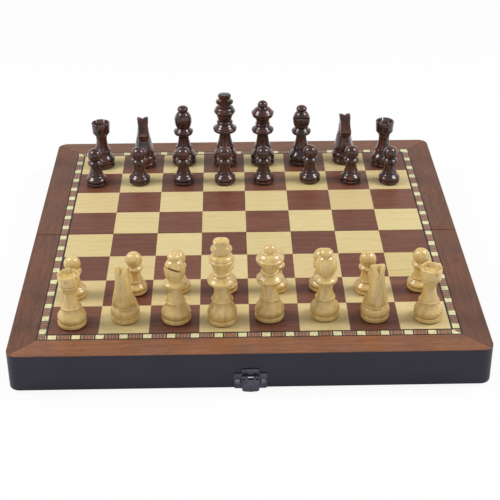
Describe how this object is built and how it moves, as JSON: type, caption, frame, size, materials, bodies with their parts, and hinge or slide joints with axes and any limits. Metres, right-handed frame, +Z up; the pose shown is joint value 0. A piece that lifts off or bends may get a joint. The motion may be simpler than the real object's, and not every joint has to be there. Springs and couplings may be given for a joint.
{
  "type": "folding chess box",
  "caption": "Folding wooden chess box opened flat: two hinged half boxes with an inlaid board on top, a clasp, fitted pockets inside and turned men set out.",
  "frame": {"origin": "on the table under the middle of the seam between the two halves, with the box opened flat", "axes": "+Z up, out of the playing surface; +Y from the clasp side, nearest the viewer, to the rear; +X to the right along the seam and the hinge axis"},
  "size_m": [0.3758, 0.3823, 0.1076],
  "materials": {
    "black_lacquer": "satin black lacquer on wood",
    "plywood": "bare plywood, hidden",
    "band_veneer": "walnut-brown veneer, satin varnish",
    "light_veneer": "cream maple veneer, satin varnish",
    "dark_veneer": "reddish brown veneer, satin varnish",
    "mosaic_inlay": "marquetry strip of small blocks, satin varnish",
    "line_veneer": "dark stringing, satin varnish",
    "flock": "short dark red flock on a moulded insert",
    "black_metal": "blackened steel, satin",
    "steel": "bare steel",
    "light_wood": "turned boxwood, satin varnish, felt under the foot",
    "dark_wood": "turned dark stained wood, gloss varnish, felt under the foot"
  },
  "bodies": {
    "base": {"base_walls": "black_lacquer", "base_panel": "plywood", "base_border": "band_veneer", "base_light_squares": "light_veneer", "base_dark_squares": "dark_veneer", "base_mosaic": "mosaic_inlay", "base_lines": "line_veneer", "base_insert": "flock", "hinge_leaves_base": "black_metal", "hinge_pins": "steel", "hinge_screws_base": "steel", "keeper_plate": "black_metal", "keeper_screws": "black_metal"},
    "lid": {"lid_walls": "black_lacquer", "lid_panel": "plywood", "lid_border": "band_veneer", "lid_light_squares": "light_veneer", "lid_dark_squares": "dark_veneer", "lid_mosaic": "mosaic_inlay", "lid_lines": "line_veneer", "lid_insert": "flock", "hinge_leaves_lid": "black_metal", "hinge_screws_lid": "steel", "clasp_plate": "black_metal", "clasp_pin": "steel", "clasp_screws": "black_metal"},
    "clasp": {"clasp_lever": "black_metal"},
    "white_rook_a1": {"white_rook_a1": "light_wood"},
    "white_knight_b1": {"white_knight_b1": "light_wood"},
    "white_bishop_c1": {"white_bishop_c1": "light_wood"},
    "white_king_d1": {"white_king_d1": "light_wood"},
    "white_queen_e1": {"white_queen_e1": "light_wood"},
    "white_bishop_f1": {"white_bishop_f1": "light_wood"},
    "white_knight_g1": {"white_knight_g1": "light_wood"},
    "white_rook_h1": {"white_rook_h1": "light_wood"},
    "white_pawn_a2": {"white_pawn_a2": "light_wood"},
    "white_pawn_b2": {"white_pawn_b2": "light_wood"},
    "white_pawn_c2": {"white_pawn_c2": "light_wood"},
    "white_pawn_d2": {"white_pawn_d2": "light_wood"},
    "white_pawn_e2": {"white_pawn_e2": "light_wood"},
    "white_pawn_f2": {"white_pawn_f2": "light_wood"},
    "white_pawn_g2": {"white_pawn_g2": "light_wood"},
    "white_pawn_h2": {"white_pawn_h2": "light_wood"},
    "black_pawn_a7": {"black_pawn_a7": "dark_wood"},
    "black_pawn_b7": {"black_pawn_b7": "dark_wood"},
    "black_pawn_c7": {"black_pawn_c7": "dark_wood"},
    "black_pawn_d7": {"black_pawn_d7": "dark_wood"},
    "black_pawn_e7": {"black_pawn_e7": "dark_wood"},
    "black_pawn_f7": {"black_pawn_f7": "dark_wood"},
    "black_pawn_g7": {"black_pawn_g7": "dark_wood"},
    "black_pawn_h7": {"black_pawn_h7": "dark_wood"},
    "black_rook_a8": {"black_rook_a8": "dark_wood"},
    "black_knight_b8": {"black_knight_b8": "dark_wood"},
    "black_bishop_c8": {"black_bishop_c8": "dark_wood"},
    "black_king_d8": {"black_king_d8": "dark_wood"},
    "black_queen_e8": {"black_queen_e8": "dark_wood"},
    "black_bishop_f8": {"black_bishop_f8": "dark_wood"},
    "black_knight_g8": {"black_knight_g8": "dark_wood"},
    "black_rook_h8": {"black_rook_h8": "dark_wood"}
  },
  "joints": [
    {"name": "board_fold", "type": "hinge", "parent": "base", "child": "lid", "pos_m": [0, 0, 0.0016], "axis": [1, 0, 0], "range_deg": [0, 180]},
    {"name": "clasp_swing", "type": "hinge", "parent": "lid", "child": "clasp", "pos_m": [0, -0.19055, 0.0134], "axis": [-1, 0, 0], "range_deg": [0, 100]},
    {"name": "lift_white_rook_a1", "type": "slide", "parent": "lid", "child": "white_rook_a1", "axis": [0, 0, 1], "range_m": [0, 0.09]},
    {"name": "lift_white_knight_b1", "type": "slide", "parent": "lid", "child": "white_knight_b1", "axis": [0, 0, 1], "range_m": [0, 0.09]},
    {"name": "lift_white_bishop_c1", "type": "slide", "parent": "lid", "child": "white_bishop_c1", "axis": [0, 0, 1], "range_m": [0, 0.09]},
    {"name": "lift_white_king_d1", "type": "slide", "parent": "lid", "child": "white_king_d1", "axis": [0, 0, 1], "range_m": [0, 0.09]},
    {"name": "lift_white_queen_e1", "type": "slide", "parent": "lid", "child": "white_queen_e1", "axis": [0, 0, 1], "range_m": [0, 0.09]},
    {"name": "lift_white_bishop_f1", "type": "slide", "parent": "lid", "child": "white_bishop_f1", "axis": [0, 0, 1], "range_m": [0, 0.09]},
    {"name": "lift_white_knight_g1", "type": "slide", "parent": "lid", "child": "white_knight_g1", "axis": [0, 0, 1], "range_m": [0, 0.09]},
    {"name": "lift_white_rook_h1", "type": "slide", "parent": "lid", "child": "white_rook_h1", "axis": [0, 0, 1], "range_m": [0, 0.09]},
    {"name": "lift_white_pawn_a2", "type": "slide", "parent": "lid", "child": "white_pawn_a2", "axis": [0, 0, 1], "range_m": [0, 0.09]},
    {"name": "lift_white_pawn_b2", "type": "slide", "parent": "lid", "child": "white_pawn_b2", "axis": [0, 0, 1], "range_m": [0, 0.09]},
    {"name": "lift_white_pawn_c2", "type": "slide", "parent": "lid", "child": "white_pawn_c2", "axis": [0, 0, 1], "range_m": [0, 0.09]},
    {"name": "lift_white_pawn_d2", "type": "slide", "parent": "lid", "child": "white_pawn_d2", "axis": [0, 0, 1], "range_m": [0, 0.09]},
    {"name": "lift_white_pawn_e2", "type": "slide", "parent": "lid", "child": "white_pawn_e2", "axis": [0, 0, 1], "range_m": [0, 0.09]},
    {"name": "lift_white_pawn_f2", "type": "slide", "parent": "lid", "child": "white_pawn_f2", "axis": [0, 0, 1], "range_m": [0, 0.09]},
    {"name": "lift_white_pawn_g2", "type": "slide", "parent": "lid", "child": "white_pawn_g2", "axis": [0, 0, 1], "range_m": [0, 0.09]},
    {"name": "lift_white_pawn_h2", "type": "slide", "parent": "lid", "child": "white_pawn_h2", "axis": [0, 0, 1], "range_m": [0, 0.09]},
    {"name": "lift_black_pawn_a7", "type": "slide", "parent": "base", "child": "black_pawn_a7", "axis": [0, 0, 1], "range_m": [0, 0.09]},
    {"name": "lift_black_pawn_b7", "type": "slide", "parent": "base", "child": "black_pawn_b7", "axis": [0, 0, 1], "range_m": [0, 0.09]},
    {"name": "lift_black_pawn_c7", "type": "slide", "parent": "base", "child": "black_pawn_c7", "axis": [0, 0, 1], "range_m": [0, 0.09]},
    {"name": "lift_black_pawn_d7", "type": "slide", "parent": "base", "child": "black_pawn_d7", "axis": [0, 0, 1], "range_m": [0, 0.09]},
    {"name": "lift_black_pawn_e7", "type": "slide", "parent": "base", "child": "black_pawn_e7", "axis": [0, 0, 1], "range_m": [0, 0.09]},
    {"name": "lift_black_pawn_f7", "type": "slide", "parent": "base", "child": "black_pawn_f7", "axis": [0, 0, 1], "range_m": [0, 0.09]},
    {"name": "lift_black_pawn_g7", "type": "slide", "parent": "base", "child": "black_pawn_g7", "axis": [0, 0, 1], "range_m": [0, 0.09]},
    {"name": "lift_black_pawn_h7", "type": "slide", "parent": "base", "child": "black_pawn_h7", "axis": [0, 0, 1], "range_m": [0, 0.09]},
    {"name": "lift_black_rook_a8", "type": "slide", "parent": "base", "child": "black_rook_a8", "axis": [0, 0, 1], "range_m": [0, 0.09]},
    {"name": "lift_black_knight_b8", "type": "slide", "parent": "base", "child": "black_knight_b8", "axis": [0, 0, 1], "range_m": [0, 0.09]},
    {"name": "lift_black_bishop_c8", "type": "slide", "parent": "base", "child": "black_bishop_c8", "axis": [0, 0, 1], "range_m": [0, 0.09]},
    {"name": "lift_black_king_d8", "type": "slide", "parent": "base", "child": "black_king_d8", "axis": [0, 0, 1], "range_m": [0, 0.09]},
    {"name": "lift_black_queen_e8", "type": "slide", "parent": "base", "child": "black_queen_e8", "axis": [0, 0, 1], "range_m": [0, 0.09]},
    {"name": "lift_black_bishop_f8", "type": "slide", "parent": "base", "child": "black_bishop_f8", "axis": [0, 0, 1], "range_m": [0, 0.09]},
    {"name": "lift_black_knight_g8", "type": "slide", "parent": "base", "child": "black_knight_g8", "axis": [0, 0, 1], "range_m": [0, 0.09]},
    {"name": "lift_black_rook_h8", "type": "slide", "parent": "base", "child": "black_rook_h8", "axis": [0, 0, 1], "range_m": [0, 0.09]}
  ]
}
